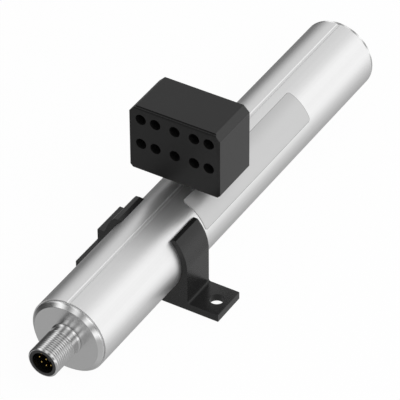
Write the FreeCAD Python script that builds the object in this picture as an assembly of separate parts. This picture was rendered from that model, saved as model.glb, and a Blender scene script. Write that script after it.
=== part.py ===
import FreeCAD, Part
import math
import os

# Magnetostrictive position sensor: a round aluminium housing with an eight-pole plug on its
# front end, held in a snap-in clamp, and a position magnet that floats above the housing.
# Every piece is drawn in the sensor's own frame: the housing's centre line is the X axis, the
# front cap's flat face is at x = 0, the rear end is towards +X, +Y is left and +Z is up.
# The finished pieces are then moved so that the origin is the centre of the clamp's base.

# Housing tube
housing_length = 193.3
tube_diameter = 30.0
tube_wall = 2.0
mark_groove_width = 1.4
mark_groove_floor_width = 0.9
mark_groove_depth = 0.35

# End caps
cap_rim_length = 1.6
cap_rim_inset = 1.95
rear_lip_length = 0.55
rear_lip_chamfer = 0.45
cap_seam_length = 0.4
cap_seam_depth = 0.7
cap_fit = 0.05
cap_web = 5.0
front_cap_depth = 13.0
rear_cap_depth = 12.0
cap_cup_wall = 2.25
cap_seal_thickness = 1.3
cap_seal_groove_width = 1.8
cap_seal_clearance = 0.05
cap_seal_from_end = 3.0

# Eight-pole plug
plug_length = 14.8
plug_thread_radius = 6.0
plug_shell_wall = 0.65
plug_neck_length = 2.4
plug_neck_undercut = 0.25
plug_flare_length = 1.0
plug_flare_step = 0.6
plug_flare_rim = 0.15
plug_mouth_chamfer = 0.45
plug_spigot_end_margin = 2.6
plug_fit = 0.03
plug_seal_thickness = 0.9
plug_seal_depth_in_cap = 2.2
plug_nut_height = 2.4
plug_nut_flat_margin = 0.95
carrier_wall = 1.15
carrier_cavity_depth = 8.2
carrier_flange_thickness = 1.4
carrier_key_height = 0.65
carrier_key_width = 1.5
contact_radius = 0.38
contact_wall_gap = 1.42
contact_tip_recess = 2.35
contact_fit = 0.02
contact_tail = 0.8
contact_ring_step = 45.0
contact_key_angle = 45.0

# Circuit boards and parts on them
plug_board_thickness = 1.2
plug_board_gap = 1.0
plug_board_edge_gap = 0.3
board_start_gap = 2.0
board_length = 47.0
board_thickness = 1.6
board_drop = 4.0
board_fit = 0.05
ribbon_width = 6.0
ribbon_thickness = 0.3
ribbon_header_length = 4.0
ribbon_header_width = 9.0
ribbon_header_height = 2.2
component_gap = 1.5
controller_size = 7.0
timing_chip_size = 5.0
chip_height = 1.2
driver_length = 5.0
driver_width = 4.0
inductor_radius = 3.0
inductor_height = 3.2
capacitor_radius = 2.5
capacitor_height = 5.8
component_edge_gap = 1.8

# Sensing element
sled_fit = 0.15
sled_wall = 1.65
sled_lip = 1.0
sled_slot_skin = 0.7
sled_end_gap = 0.5
post_count = 3
post_thickness = 3.0
post_half_width = 4.0
post_head = 3.0
post_clear_of_board = 3.0
waveguide_rise = 6.0
waveguide_radius = 0.35
sleeve_radius = 1.5
sleeve_bore_radius = 1.0
sensing_fit = 0.05
return_wire_radius = 0.25
return_wire_drop = 4.4
anchor_length = 3.0
anchor_width = 3.0
bobbin_length = 9.0
bobbin_core_radius = 1.1
bobbin_flange_radius = 3.0
bobbin_flange_thickness = 0.8
bobbin_foot_width = 4.0
coil_radius = 2.5
bias_magnet_length = 4.0
bias_magnet_width = 2.0
bias_magnet_height = 3.0
damper_radius = 3.4
damper_length = 10.0
damper_wall = 2.0
tail_length = 2.5
tail_clip_thickness = 2.0
tail_clip_margin = 1.0

# Nameplate film
label_start = 70.3
label_length = 75.7
label_thickness = 0.12
label_first_angle = 18.0
label_last_angle = 72.0
label_corner_radius = 2.0

# Mounting clamp
clamp_centre = 59.8
clamp_length = 15.0
clamp_running_clearance = 0.06
clamp_arm = 2.24
clamp_floor = 2.94
clamp_foot_thickness = 3.0
clamp_block_step = 2.6
clamp_block_top = 3.9
clamp_tip_height = 11.8
clamp_screw_hole_radius = 2.75
clamp_screw_hole_from_block = 5.1
clamp_foot_margin = 5.0
clamp_corner_radius = 1.0
clamp_tip_radius = 0.8
clamp_foot_edge_radius = 0.3

# Position magnet
magnet_start = 72.85
magnet_depth = 20.5
magnet_width = 37.4
magnet_height = 27.4
magnet_air_gap = 4.4
magnet_top_chamfer = 2.4
magnet_bottom_chamfer = 1.1
magnet_edge_chamfer = 0.4
magnet_hole_radius = 2.15
magnet_hole_row_from_bottom = 11.7
magnet_hole_row_pitch = 10.7
magnet_hole_offsets = (0.0, 8.0, 14.0)
magnet_pocket_wall = 3.2
magnet_cover_thickness = 1.4
magnet_bar_height = 5.2
magnet_bar_gap = 2.0
magnet_pole_thickness = 1.2
magnet_pocket_fit = 0.05

# Sizes that follow from those above
tube_radius = tube_diameter / 2
tube_bore = tube_radius - tube_wall
front_flange = cap_rim_length + cap_seam_length
rear_flange = rear_lip_length + cap_seam_length
cap_spigot_radius = tube_bore - cap_fit
front_spigot_end = front_flange + front_cap_depth
rear_spigot_start = housing_length - rear_flange - rear_cap_depth
cap_cup_radius = cap_spigot_radius - cap_cup_wall
plug_bore = plug_thread_radius - plug_shell_wall
plug_cap_hole = plug_thread_radius + plug_fit
plug_neck_radius = plug_thread_radius - plug_neck_undercut
plug_spigot_end = cap_web + plug_spigot_end_margin
plug_nut_across_flats = 2 * (plug_thread_radius + plug_nut_flat_margin)
carrier_radius = plug_bore - plug_fit
carrier_cavity_radius = carrier_radius - carrier_wall
contact_ring_radius = carrier_cavity_radius - contact_wall_gap
plug_board_start = plug_spigot_end + carrier_flange_thickness + plug_board_gap
plug_board_radius = cap_cup_radius - plug_board_edge_gap
sled_radius = tube_bore - sled_fit
sled_start = front_spigot_end + sled_end_gap
sled_end = rear_spigot_start - sled_end_gap
board_start = sled_start + board_start_gap
board_end = board_start + board_length
board_top = -board_drop
board_bottom = board_top - board_thickness
board_half_width = math.sqrt(sled_radius ** 2 - board_bottom ** 2) - sled_slot_skin - board_fit
component_row = board_half_width - component_edge_gap
return_wire_height = waveguide_rise - return_wire_drop
bobbin_end = board_end - component_gap
bobbin_start = bobbin_end - bobbin_length
anchor_end = bobbin_start - component_gap
anchor_start = anchor_end - anchor_length
damper_end = sled_end - tail_length - tail_clip_thickness - component_gap
damper_start = damper_end - damper_length
sleeve_start = bobbin_end + component_gap
sleeve_end = damper_start - component_gap
waveguide_end = damper_end + component_gap + tail_clip_thickness
clamp_bore = tube_radius + clamp_running_clearance
clamp_outer = clamp_bore + clamp_arm
clamp_block_face = clamp_outer + clamp_block_step
clamp_screw_offset = clamp_block_face + clamp_screw_hole_from_block
clamp_foot_end = clamp_screw_offset + clamp_foot_margin
axis_height = clamp_bore + clamp_floor
magnet_bottom = tube_radius + magnet_air_gap
magnet_top = magnet_bottom + magnet_height
magnet_end = magnet_start + magnet_depth

ALONG = FreeCAD.Vector(1, 0, 0)
UP = FreeCAD.Vector(0, 0, 1)
CENTRE = FreeCAD.Vector(0, 0, 0)


def box(x_span, y_span, z_span):
    """A block between two x, two y and two z values."""
    corner = FreeCAD.Vector(x_span[0], y_span[0], z_span[0])
    return Part.makeBox(x_span[1] - x_span[0], y_span[1] - y_span[0], z_span[1] - z_span[0], corner)


def rod(radius, x_start, x_end, y=0.0, z=0.0):
    """A round bar along X."""
    return Part.makeCylinder(radius, x_end - x_start, FreeCAD.Vector(x_start, y, z), ALONG)


def sleeve(outer_radius, inner_radius, x_start, x_end, y=0.0, z=0.0):
    """A round bar along X with a round hole through it."""
    bar = rod(outer_radius, x_start, x_end, y, z)
    return bar.cut(rod(inner_radius, x_start, x_end, y, z))


def post(radius, x, y, z_start, z_end):
    """A round bar that stands up."""
    return Part.makeCylinder(radius, z_end - z_start, FreeCAD.Vector(x, y, z_start), UP)


def turned(profile):
    """A body of revolution about the housing's centre line, from (x, radius) points."""
    points = [FreeCAD.Vector(x, 0, radius) for x, radius in profile]
    outline = Part.makePolygon(points + points[:1])
    return Part.Face(outline).revolve(CENTRE, ALONG, 360)


def seal_ring(ring_radius, thickness, x):
    """A round cord bent into a ring about the housing's centre line."""
    return Part.makeTorus(ring_radius, thickness / 2, FreeCAD.Vector(x, 0, 0), ALONG)


def on_ring(radius, angle):
    """The (y, z) place at an angle from the top, turning to the right as the plug is faced."""
    turn = math.radians(angle)
    return -radius * math.sin(turn), radius * math.cos(turn)


def edges_along_x(shape, places):
    """The straight edges along X that pass through one of the (y, z) places."""
    found = []
    for edge in shape.Edges:
        middle = edge.CenterOfMass
        ends = [vertex.Point for vertex in edge.Vertexes]
        runs_along = len(ends) == 2 and abs(ends[0].y - ends[1].y) + abs(ends[0].z - ends[1].z) < 1e-6
        if runs_along and any(math.hypot(middle.y - y, middle.z - z) < 1e-3 for y, z in places):
            found.append(edge)
    return found


def make_profile_tube():
    """The extruded housing tube with the shallow mark line along its top."""
    start = front_flange
    end = housing_length - rear_flange
    floor = tube_radius - mark_groove_depth
    above = tube_radius + mark_groove_depth
    half_top = mark_groove_width - mark_groove_floor_width / 2
    half_floor = mark_groove_floor_width / 2
    corners = [(-half_floor, floor), (half_floor, floor), (half_top, above), (-half_top, above)]
    points = [FreeCAD.Vector(start, y, z) for y, z in corners]
    groove = Part.Face(Part.makePolygon(points + points[:1])).extrude(ALONG * (end - start))
    return sleeve(tube_radius, tube_bore, start, end).cut(groove)


def cap_outline(rim, depth, hole_radius):
    """The turned outline of an end cap whose flat face is at x = 0, round its rim's points."""
    rim_end = rim[-1][0]
    seam_end = rim_end + cap_seam_length
    seam_radius = tube_radius - cap_seam_depth
    end = seam_end + depth
    return [(0, hole_radius)] + rim + [
        (rim_end, seam_radius),
        (seam_end, seam_radius),
        (seam_end, cap_spigot_radius),
        (end, cap_spigot_radius),
        (end, cap_cup_radius),
        (cap_web, cap_cup_radius),
        (cap_web, hole_radius),
    ]


def cap_seal_groove(x_middle):
    """The ring cut that holds a cap's seal."""
    floor = cap_spigot_radius - cap_seal_thickness - cap_seal_clearance
    half = cap_seal_groove_width / 2
    return sleeve(cap_spigot_radius + cap_fit, floor, x_middle - half, x_middle + half)


def cap_seal(x_middle):
    """The seal ring that lies in a cap's groove."""
    ring_radius = cap_spigot_radius - cap_seal_clearance - cap_seal_thickness / 2
    return seal_ring(ring_radius, cap_seal_thickness, x_middle)


front_seal_place = front_spigot_end - cap_seal_from_end
rear_seal_place = rear_spigot_start + cap_seal_from_end


def make_connector_cap():
    """The front cap: a turned cup with a hole for the plug and its seal."""
    rim = [(0, tube_radius - cap_rim_inset), (cap_rim_length, tube_radius)]
    cap = turned(cap_outline(rim, front_cap_depth, plug_cap_hole))
    seal_half = plug_seal_thickness / 2 + cap_seal_clearance
    seal_seat = sleeve(
        plug_cap_hole + plug_seal_thickness,
        plug_cap_hole,
        plug_seal_depth_in_cap - seal_half,
        plug_seal_depth_in_cap + seal_half,
    )
    return cap.cut(seal_seat).cut(cap_seal_groove(front_seal_place))


def make_rear_cap():
    """The rear cap: a turned cup with no hole and a thin lip, chamfered towards the tube."""
    rim = [
        (0, tube_radius),
        (rear_lip_length - rear_lip_chamfer, tube_radius),
        (rear_lip_length, tube_radius - rear_lip_chamfer),
    ]
    outline = [(housing_length - x, radius) for x, radius in cap_outline(rim, rear_cap_depth, 0.0)]
    return turned(outline).cut(cap_seal_groove(rear_seal_place))


def make_connector_shell():
    """The plug's metal shell: threaded barrel, neck, flare on the cap's face and spigot."""
    thread_start = plug_mouth_chamfer - plug_length
    neck_start = -plug_neck_length - plug_flare_length
    flare_start = -plug_flare_length
    flare_radius = plug_thread_radius + plug_flare_step
    mouth_radius = plug_thread_radius - plug_mouth_chamfer
    outline = [
        (-plug_length, plug_bore),
        (-plug_length, mouth_radius),
        (thread_start, plug_thread_radius),
        (neck_start - plug_neck_undercut, plug_thread_radius),
        (neck_start, plug_neck_radius),
        (flare_start, plug_neck_radius),
    ]
    hollow_radius = flare_radius - plug_neck_radius
    sweep_height = plug_flare_length - plug_flare_rim
    for quarter in (30, 60):
        turn = math.radians(quarter)
        outline.append((
            flare_start + sweep_height * math.sin(turn),
            plug_neck_radius + hollow_radius * (1 - math.cos(turn)),
        ))
    outline += [
        (-plug_flare_rim, flare_radius),
        (0, flare_radius),
        (0, plug_thread_radius),
        (plug_spigot_end, plug_thread_radius),
        (plug_spigot_end, plug_bore),
    ]
    return turned(outline)


def make_connector_shell_seal():
    """The seal between the plug's spigot and the front cap."""
    ring_radius = plug_cap_hole + plug_seal_thickness / 2
    return seal_ring(ring_radius, plug_seal_thickness, plug_seal_depth_in_cap)


def make_connector_nut():
    """The six-sided nut that draws the plug against the front cap."""
    corner_radius = plug_nut_across_flats / 2 / math.cos(math.radians(30))
    corners = [on_ring(corner_radius, 60 * step) for step in range(6)]
    points = [FreeCAD.Vector(cap_web, y, z) for y, z in corners]
    blank = Part.Face(Part.makePolygon(points + points[:1])).extrude(ALONG * plug_nut_height)
    return blank.cut(rod(plug_cap_hole, cap_web, cap_web + plug_nut_height))


def contact_places():
    """The (y, z) places of the eight contacts: seven on a ring, with a gap at the key, and one
    in the middle."""
    ring = [on_ring(contact_ring_radius, contact_key_angle + contact_ring_step * step) for step in range(1, 8)]
    return ring + [(0.0, 0.0)]


def make_contact_carrier():
    """The moulded insert: a cup with an inner key, drilled for the contacts."""
    floor = carrier_cavity_depth - plug_length
    flange_end = plug_spigot_end + carrier_flange_thickness
    body = rod(carrier_radius, -plug_length, plug_spigot_end)
    flange = rod(plug_thread_radius, plug_spigot_end, flange_end)
    carrier = body.fuse(flange).cut(rod(carrier_cavity_radius, -plug_length, floor))
    key_low = carrier_cavity_radius - carrier_key_height
    key_high = carrier_cavity_radius + carrier_wall / 2
    half = carrier_key_width / 2
    key = box((-plug_length, floor), (-half, half), (key_low, key_high))
    key.rotate(CENTRE, ALONG, contact_key_angle)
    carrier = carrier.fuse(key)
    for y, z in contact_places():
        carrier = carrier.cut(rod(contact_radius + contact_fit, floor, flange_end, y, z))
    return carrier.removeSplitter()


def make_contact_pin(y, z):
    """One round-nosed contact, from its tip in the plug to its tail behind the plug's board."""
    tip = contact_tip_recess - plug_length
    tail = plug_board_start + plug_board_thickness + contact_tail
    nose = Part.makeSphere(contact_radius, FreeCAD.Vector(tip + contact_radius, y, z))
    return rod(contact_radius, tip + contact_radius, tail, y, z).fuse(nose).removeSplitter()


def make_connector_board():
    """The round board that the contacts are soldered to."""
    end = plug_board_start + plug_board_thickness
    board = rod(plug_board_radius, plug_board_start, end)
    for y, z in contact_places():
        board = board.cut(rod(contact_radius + contact_fit, plug_board_start, end, y, z))
    return board


def header_span():
    """The x span of the ribbon's header at the front end of the main board."""
    start = board_start + component_gap
    return start, start + ribbon_header_length


def make_ribbon_lead():
    """The flat lead from the plug's board down to its header on the main board."""
    header_start = header_span()[0]
    low = board_top + ribbon_header_height / 2
    high = contact_ring_radius / 2
    start = plug_board_start + plug_board_thickness + contact_fit
    first_bend = start + contact_tail + component_gap
    steps = [
        (start, high), (first_bend, high), (header_start - component_gap, low), (header_start, low)
    ]
    top = [(x, z + ribbon_thickness) for x, z in steps]
    points = [FreeCAD.Vector(x, -ribbon_width / 2, z) for x, z in steps + top[::-1]]
    strip = Part.Face(Part.makePolygon(points + points[:1])).extrude(FreeCAD.Vector(0, ribbon_width, 0))
    for y, z in contact_places():
        strip = strip.cut(rod(contact_radius + contact_fit, start, first_bend, y, z))
    return strip


def make_ribbon_header():
    """The header that the flat lead ends in."""
    half = ribbon_header_width / 2
    return box(header_span(), (-half, half), (board_top, board_top + ribbon_header_height))


def make_main_circuit_board():
    """The main board, which lies in the sled's side slots."""
    half = board_half_width
    return box((board_start, board_end), (-half, half), (board_bottom, board_top))


def chip(x_start, length, side, width):
    """A flat moulded part near the main board's left (+1) or right (-1) edge."""
    y_span = sorted((side * component_row, side * (component_row - width)))
    return box((x_start, x_start + length), y_span, (board_top, board_top + chip_height))


def standing_part(radius, height, x):
    """A round part that stands near the main board's left edge."""
    return post(radius, x, component_row - radius, board_top, board_top + height)


def make_board_parts():
    """The parts on the main board, in two rows behind the header, as name and solid."""
    first = header_span()[1] + component_gap
    second = first + controller_size + component_gap
    capacitor_place = second + capacitor_radius
    inductor_place = capacitor_place + capacitor_radius + component_gap + inductor_radius
    return {
        "controller_chip": chip(first, controller_size, 1, controller_size),
        "timing_chip": chip(first, timing_chip_size, -1, timing_chip_size),
        "line_driver_chip": chip(second, driver_length, -1, driver_width),
        "storage_capacitor": standing_part(capacitor_radius, capacitor_height, capacitor_place),
        "filter_inductor": standing_part(inductor_radius, inductor_height, inductor_place),
    }


def post_places():
    """The x places where the sled's posts begin, spread evenly between board and damper."""
    first = board_end + post_clear_of_board
    last = sleeve_end - post_thickness
    step = (last - first) / (post_count - 1)
    return [first + step * index for index in range(post_count)]


def sled_upright(x_start, x_end, half_width):
    """A wall across the sled that reaches up past the waveguide."""
    top = waveguide_rise + post_head
    block = box((x_start, x_end), (-half_width, half_width), (-sled_radius, top))
    return block.common(rod(sled_radius, x_start, x_end))


def make_sensor_sled():
    """The moulded trough that carries the board at its sides and the sensing element on posts."""
    lip_top = board_top + board_fit + sled_lip
    wide = 2 * sled_radius
    trough = sleeve(sled_radius, sled_radius - sled_wall, sled_start, sled_end)
    trough = trough.cut(box((sled_start, sled_end), (-wide, wide), (lip_top, wide)))
    slot_half = board_half_width + board_fit
    slot = box(
        (sled_start, board_end + board_fit),
        (-slot_half, slot_half),
        (board_bottom - board_fit, board_top + board_fit),
    )
    trough = trough.cut(slot)
    sleeve_hole = rod(sleeve_radius + sensing_fit, sled_start, damper_start, z=waveguide_rise)
    for start in post_places():
        upright = sled_upright(start, start + post_thickness, post_half_width)
        trough = trough.fuse(upright.cut(sleeve_hole))
    seat = sled_upright(damper_start, damper_end, damper_radius + damper_wall)
    seat_hole = rod(damper_radius + sensing_fit, damper_start, damper_end, z=waveguide_rise)
    trough = trough.fuse(seat.cut(seat_hole))
    wire_hole = return_wire_radius + sensing_fit
    trough = trough.cut(rod(wire_hole, board_end, sled_end, z=return_wire_height))
    return trough.removeSplitter()


def make_waveguide_anchor():
    """The soldered block that holds the waveguide's front end on the board."""
    half = anchor_width / 2
    block = box((anchor_start, anchor_end), (-half, half), (board_top, waveguide_rise + half))
    return block.cut(rod(waveguide_radius + contact_fit, anchor_start, anchor_end, z=waveguide_rise))


def make_coil_bobbin():
    """The spool round the waveguide, on a foot on the board."""
    spool = rod(bobbin_core_radius, bobbin_start, bobbin_end, z=waveguide_rise)
    half = bobbin_foot_width / 2
    for start in (bobbin_start, bobbin_end - bobbin_flange_thickness):
        end = start + bobbin_flange_thickness
        spool = spool.fuse(rod(bobbin_flange_radius, start, end, z=waveguide_rise))
        spool = spool.fuse(box((start, end), (-half, half), (board_top, waveguide_rise)))
    hole = rod(waveguide_radius + sensing_fit, bobbin_start, bobbin_end, z=waveguide_rise)
    return spool.cut(hole).removeSplitter()


def make_pickup_coil():
    """The winding between the spool's flanges."""
    start = bobbin_start + bobbin_flange_thickness + sensing_fit
    end = bobbin_end - bobbin_flange_thickness - sensing_fit
    return sleeve(coil_radius, bobbin_core_radius + contact_fit, start, end, z=waveguide_rise)


def make_bias_magnet():
    """The small magnet on the board under the winding."""
    middle = (bobbin_start + bobbin_end) / 2
    half_length = bias_magnet_length / 2
    half = bias_magnet_width / 2
    return box(
        (middle - half_length, middle + half_length),
        (-half, half),
        (board_top, board_top + bias_magnet_height),
    )


def make_return_wire():
    """The bare wire that runs back from the tail and turns down to the board's end."""
    turn_place = board_end - component_gap / 2
    run = rod(return_wire_radius, turn_place, waveguide_end, z=return_wire_height)
    elbow = Part.makeSphere(return_wire_radius, FreeCAD.Vector(turn_place, 0, return_wire_height))
    drop = post(return_wire_radius, turn_place, 0, board_top, return_wire_height)
    return run.fuse(elbow).fuse(drop).removeSplitter()


def make_damping_plug():
    """The soft plug that swallows the wave at the tail of the waveguide."""
    return sleeve(
        damper_radius, waveguide_radius + contact_fit, damper_start, damper_end, z=waveguide_rise
    )


def make_tail_clip():
    """The clip that joins the waveguide's tail to the return wire."""
    start = waveguide_end - tail_clip_thickness
    half = waveguide_radius + tail_clip_margin
    z_span = (return_wire_height - tail_clip_margin, waveguide_rise + half)
    clip = box((start, waveguide_end), (-half, half), z_span)
    clip = clip.cut(rod(waveguide_radius + contact_fit, start, waveguide_end, z=waveguide_rise))
    return clip.cut(rod(return_wire_radius + contact_fit, start, waveguide_end, z=return_wire_height))


def make_nameplate_label():
    """The thin film on the housing's right shoulder, with rounded corners."""
    middle_angle = (label_first_angle + label_last_angle) / 2
    outer = tube_radius + label_thickness
    half_chord = tube_radius * math.sin(math.radians(label_last_angle - middle_angle))
    end = label_start + label_length
    blank = box((label_start, end), (-half_chord, half_chord), (0, 2 * tube_radius))
    corners = [edge for edge in blank.Edges if abs(edge.Vertexes[0].Z - edge.Vertexes[1].Z) > 1]
    blank = blank.makeFillet(label_corner_radius, corners)
    blank.rotate(CENTRE, ALONG, middle_angle)
    return sleeve(outer, tube_radius, label_start, end).common(blank)


def make_mounting_clamp():
    """The one-piece clamp: two springy arms round the tube, a thick block on the left side and
    two screw feet."""
    start = clamp_centre - clamp_length / 2
    end = start + clamp_length
    span = (start, end)
    bottom = -axis_height
    foot_top = bottom + clamp_foot_thickness
    ring = rod(clamp_outer, start, end)
    wide = 2 * clamp_outer
    ring = ring.cut(box(span, (-wide, wide), (clamp_tip_height, wide)))
    feet = box(span, (-clamp_foot_end, clamp_foot_end), (bottom, foot_top))
    block = box(span, (0, clamp_block_face), (bottom, clamp_block_top))
    wall = box(span, (-clamp_outer, 0), (bottom, 0))
    body = ring.fuse([feet, block, wall]).cut(rod(clamp_bore, start, end)).removeSplitter()
    shoulder = math.sqrt(clamp_outer ** 2 - clamp_block_top ** 2)
    inner_corners = [(clamp_block_face, foot_top), (-clamp_outer, foot_top), (shoulder, clamp_block_top)]
    body = body.makeFillet(clamp_corner_radius, edges_along_x(body, inner_corners))
    tip_inner = math.sqrt(clamp_bore ** 2 - clamp_tip_height ** 2)
    tip_outer = math.sqrt(clamp_outer ** 2 - clamp_tip_height ** 2)
    tips = [(side * y, clamp_tip_height) for side in (1, -1) for y in (tip_inner, tip_outer)]
    body = body.makeFillet(clamp_tip_radius, edges_along_x(body, tips))
    outer_corners = [(side * clamp_foot_end, foot_top) for side in (1, -1)]
    outer_corners.append((clamp_block_face, clamp_block_top))
    body = body.makeFillet(clamp_foot_edge_radius, edges_along_x(body, outer_corners))
    for side in (1, -1):
        hole = post(clamp_screw_hole_radius, clamp_centre, side * clamp_screw_offset, bottom, foot_top)
        body = body.cut(hole)
    return body


def magnet_section(inset):
    """The magnet housing's outline across the housing tube, drawn in by an even inset."""
    half = magnet_width / 2 - inset
    low = magnet_bottom + inset
    high = magnet_top - inset
    top_cut = magnet_top_chamfer - inset / 2
    low_cut = magnet_bottom_chamfer - inset / 2
    return [
        (half - low_cut, low), (half, low + low_cut), (half, high - top_cut), (half - top_cut, high),
        (top_cut - half, high), (-half, high - top_cut), (-half, low + low_cut), (low_cut - half, low),
    ]


def magnet_wire(x, inset):
    """The magnet housing's outline as a closed wire at one x."""
    points = [FreeCAD.Vector(x, y, z) for y, z in magnet_section(inset)]
    return Part.makePolygon(points + points[:1])


def magnet_pocket(fit):
    """The space under the magnet housing for its magnets, drawn in by a fit."""
    x_span = (magnet_start + magnet_pocket_wall + fit, magnet_end - magnet_pocket_wall - fit)
    half = magnet_width / 2 - magnet_pocket_wall - fit
    return x_span, (-half, half)


magnet_bars_low = magnet_bottom + magnet_cover_thickness + magnet_pocket_fit
magnet_bars_high = magnet_bars_low + magnet_bar_height
magnet_pole_low = magnet_bars_high + magnet_pocket_fit
magnet_pole_high = magnet_pole_low + magnet_pole_thickness


def make_magnet_housing():
    """The black block: bevelled along its length, drilled through for screws, open below."""
    stations = [
        (magnet_start, magnet_edge_chamfer),
        (magnet_start + magnet_edge_chamfer, 0.0),
        (magnet_end - magnet_edge_chamfer, 0.0),
        (magnet_end, magnet_edge_chamfer),
    ]
    body = Part.makeLoft([magnet_wire(x, inset) for x, inset in stations], True, True)
    for row in range(2):
        height = magnet_bottom + magnet_hole_row_from_bottom + row * magnet_hole_row_pitch
        for offset in magnet_hole_offsets:
            for side in sorted({-offset, offset}):
                body = body.cut(rod(magnet_hole_radius, magnet_start, magnet_end, side, height))
    x_span, y_span = magnet_pocket(0.0)
    return body.cut(box(x_span, y_span, (magnet_bottom, magnet_pole_high + magnet_pocket_fit)))


def make_bar_magnet(side):
    """One of the two bar magnets, left (+1) or right (-1)."""
    x_span, y_span = magnet_pocket(magnet_pocket_fit)
    ends = sorted((side * magnet_bar_gap / 2, side * y_span[1]))
    return box(x_span, ends, (magnet_bars_low, magnet_bars_high))


def make_pole_plate():
    """The steel plate above the magnets that carries their field."""
    x_span, y_span = magnet_pocket(magnet_pocket_fit)
    return box(x_span, y_span, (magnet_pole_low, magnet_pole_high))


def make_magnet_cover():
    """The plate that closes the magnet housing from below."""
    x_span, y_span = magnet_pocket(magnet_pocket_fit)
    return box(x_span, y_span, (magnet_bottom, magnet_bottom + magnet_cover_thickness))


parts = {
    "profile_tube": make_profile_tube(),
    "connector_cap": make_connector_cap(),
    "rear_cap": make_rear_cap(),
    "connector_cap_seal": cap_seal(front_seal_place),
    "rear_cap_seal": cap_seal(rear_seal_place),
    "connector_shell": make_connector_shell(),
    "connector_shell_seal": make_connector_shell_seal(),
    "connector_nut": make_connector_nut(),
    "contact_carrier": make_contact_carrier(),
    "connector_board": make_connector_board(),
    "ribbon_lead": make_ribbon_lead(),
    "ribbon_header": make_ribbon_header(),
    "main_circuit_board": make_main_circuit_board(),
    "sensor_sled": make_sensor_sled(),
    "waveguide_anchor": make_waveguide_anchor(),
    "waveguide_wire": rod(waveguide_radius, anchor_start, waveguide_end, z=waveguide_rise),
    "waveguide_sleeve": sleeve(
        sleeve_radius, sleeve_bore_radius, sleeve_start, sleeve_end, z=waveguide_rise
    ),
    "coil_bobbin": make_coil_bobbin(),
    "pickup_coil": make_pickup_coil(),
    "bias_magnet": make_bias_magnet(),
    "return_wire": make_return_wire(),
    "damping_plug": make_damping_plug(),
    "tail_clip": make_tail_clip(),
    "nameplate_label": make_nameplate_label(),
    "mounting_clamp": make_mounting_clamp(),
    "magnet_housing": make_magnet_housing(),
    "bar_magnet_left": make_bar_magnet(1),
    "bar_magnet_right": make_bar_magnet(-1),
    "pole_plate": make_pole_plate(),
    "magnet_cover": make_magnet_cover(),
}
parts.update(make_board_parts())
for number, (contact_y, contact_z) in enumerate(contact_places(), start=1):
    parts[f"contact_pin_{number}"] = make_contact_pin(contact_y, contact_z)

to_clamp_base = FreeCAD.Vector(-clamp_centre, 0, axis_height)
os.makedirs("parts", exist_ok=True)
for name, solid in parts.items():
    placed = solid.translated(to_clamp_base)
    placed.exportStep(f"parts/{name}.step")
    print(name, "solids", len(placed.Solids), "valid", placed.isValid(), "volume", round(placed.Volume, 2))
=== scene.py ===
# %% [markdown]
# # A magnetostrictive position sensor
# The sensor is a round aluminium housing with an eight-pole screw plug, a black clamp and a
# black magnet that floats above it. A construction model already has every piece in place.
# This lesson dresses that model: each visible piece is drawn again with its small roundings,
# and every surface gets a finish made of shader nodes, so nothing is painted from a picture.

# %% Load the construction model
import math

import bmesh
import bpy
from mathutils import Matrix, Vector


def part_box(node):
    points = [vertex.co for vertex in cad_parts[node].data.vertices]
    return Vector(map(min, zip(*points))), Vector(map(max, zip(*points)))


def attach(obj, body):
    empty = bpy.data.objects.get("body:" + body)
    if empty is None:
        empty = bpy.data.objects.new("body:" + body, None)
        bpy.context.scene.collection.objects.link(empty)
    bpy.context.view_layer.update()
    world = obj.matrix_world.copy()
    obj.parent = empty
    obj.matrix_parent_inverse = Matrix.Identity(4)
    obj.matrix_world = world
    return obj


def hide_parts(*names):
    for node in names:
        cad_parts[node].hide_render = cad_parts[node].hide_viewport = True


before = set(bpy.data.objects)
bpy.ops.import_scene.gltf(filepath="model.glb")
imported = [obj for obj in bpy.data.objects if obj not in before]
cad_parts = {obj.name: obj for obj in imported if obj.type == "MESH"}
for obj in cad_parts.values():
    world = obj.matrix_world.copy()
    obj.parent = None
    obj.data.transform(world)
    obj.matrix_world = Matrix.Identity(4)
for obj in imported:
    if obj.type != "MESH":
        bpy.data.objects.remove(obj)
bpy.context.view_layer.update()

# %% [markdown]
# ## Places that everything shares
# The housing is turned about one long line, so most pieces need only that line's height and
# the place of the front cap's flat face. Both are read from the construction model, and three
# small functions turn metres into millimetres from there and back.

# %% Read the shared places
MM = 0.001
tube_low, tube_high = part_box("profile_tube")
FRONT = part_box("connector_cap")[0].x
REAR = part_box("rear_cap")[1].x
TUBE_RADIUS = (tube_high.y - tube_low.y) / 2
AXIS_HEIGHT = tube_low.z + TUBE_RADIUS
HOUSING_LENGTH = (REAR - FRONT) / MM
print("axis height", round(AXIS_HEIGHT, 4), "housing length in mm", round(HOUSING_LENGTH, 2))


def from_front(x):
    """How far a place in metres lies behind the front cap's face, in mm."""
    return (x - FRONT) / MM


def above_line(z):
    """How far a place in metres lies above the housing's line, in mm."""
    return (z - AXIS_HEIGHT) / MM


def placed(x, y, z):
    """The point in metres that lies so many mm behind the face, left of the line and above it."""
    return FRONT + x * MM, y * MM, AXIS_HEIGHT + z * MM


# %% [markdown]
# ## Outlines with softened corners
# A real edge is never perfectly sharp: it carries a small radius that catches the light. An
# outline here is a list of corners, each with the length that is cut off on both sides of it
# and bridged by a curve. A bevel modifier could do this after modelling, but an outline keeps
# each radius under control where turned pieces have many different ones.

# %% Soften an outline
CURVE_STEPS = 4


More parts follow.
